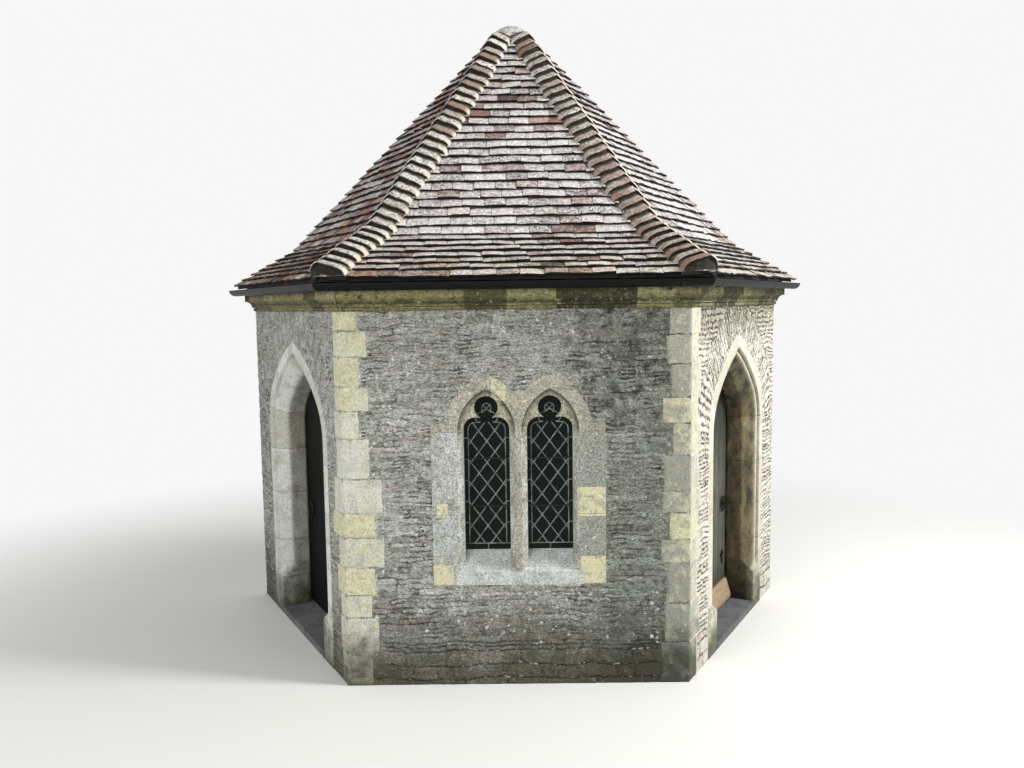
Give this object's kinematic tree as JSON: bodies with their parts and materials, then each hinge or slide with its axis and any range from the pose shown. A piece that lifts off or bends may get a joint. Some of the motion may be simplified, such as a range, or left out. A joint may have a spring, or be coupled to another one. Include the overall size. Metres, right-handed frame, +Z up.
{
  "type": "church porch",
  "caption": "Half-hexagonal stone church porch with pointed doorways, a traceried window and a tiled, bell-cast roof",
  "frame": {"origin": "middle of the bounding box in plan, at ground level under the floor", "axes": "+Z up, +Y from the front wall towards the wall it is built against, +X to the right of someone who faces the front"},
  "size_m": [5.3758, 2.2844, 5.3028],
  "materials": {
    "paving_stone": "matte",
    "rubble_shade": "matte",
    "rubble_sun": "matte",
    "dressed_stone": "matte",
    "sill_stone": "matte",
    "leaded_glass": "gloss",
    "cornice_stone": "matte",
    "gutter_iron": "satin",
    "hip_clay": "matte",
    "clay_tile": "matte",
    "mortar": "matte",
    "roof_timber": "matte",
    "dark_oak": "satin",
    "grey_oak": "matte",
    "board_wood": "matte",
    "black_iron": "satin"
  },
  "bodies": {
    "porch": {"floor": "paving_stone", "left_threshold": "paving_stone", "right_threshold": "paving_stone", "front_wall_foot": "rubble_shade", "front_wall_left": "rubble_shade", "front_wall_right": "rubble_shade", "front_wall_top": "rubble_shade", "left_wall_front": "rubble_shade", "left_wall_back": "rubble_shade", "left_wall_top": "rubble_shade", "right_wall_front": "rubble_sun", "right_wall_back": "rubble_sun", "right_wall_top": "rubble_sun", "left_quoins": "dressed_stone", "right_quoins": "dressed_stone", "left_front_jamb": "dressed_stone", "left_back_jamb": "dressed_stone", "left_arch": "dressed_stone", "right_front_jamb": "dressed_stone", "right_back_jamb": "dressed_stone", "right_arch": "dressed_stone", "window_sill": "sill_stone", "window_jambs": "dressed_stone", "window_mullion": "dressed_stone", "window_head": "dressed_stone", "window_glass": "leaded_glass", "front_cornice": "cornice_stone", "left_cornice": "cornice_stone", "right_cornice": "cornice_stone", "front_gutter": "gutter_iron", "left_gutter": "gutter_iron", "right_gutter": "gutter_iron", "wall_plates": "roof_timber", "hip_rafters": "roof_timber", "wall_rafters": "roof_timber", "rafters": "roof_timber", "apex_post": "roof_timber", "front_tiles": "clay_tile", "left_tiles": "clay_tile", "right_tiles": "clay_tile", "hip_tiles": "hip_clay", "apex_cap": "mortar", "hinge_hooks": "black_iron"},
    "left_leaf": {"left_door": "dark_oak", "left_ironwork": "black_iron"},
    "right_leaf": {"right_door": "grey_oak", "right_ironwork": "black_iron", "weatherboard": "board_wood"}
  },
  "joints": [
    {"name": "left_door_hinge", "type": "hinge", "parent": "porch", "child": "left_leaf", "pos_m": [-1.23791, -0.30917, 0.5], "axis": [0, 0, -1], "range_deg": [0, 95]},
    {"name": "right_door_hinge", "type": "hinge", "parent": "porch", "child": "right_leaf", "pos_m": [1.28891, -0.22084, 0.5], "axis": [0, 0, 1], "range_deg": [0, 95]}
  ]
}
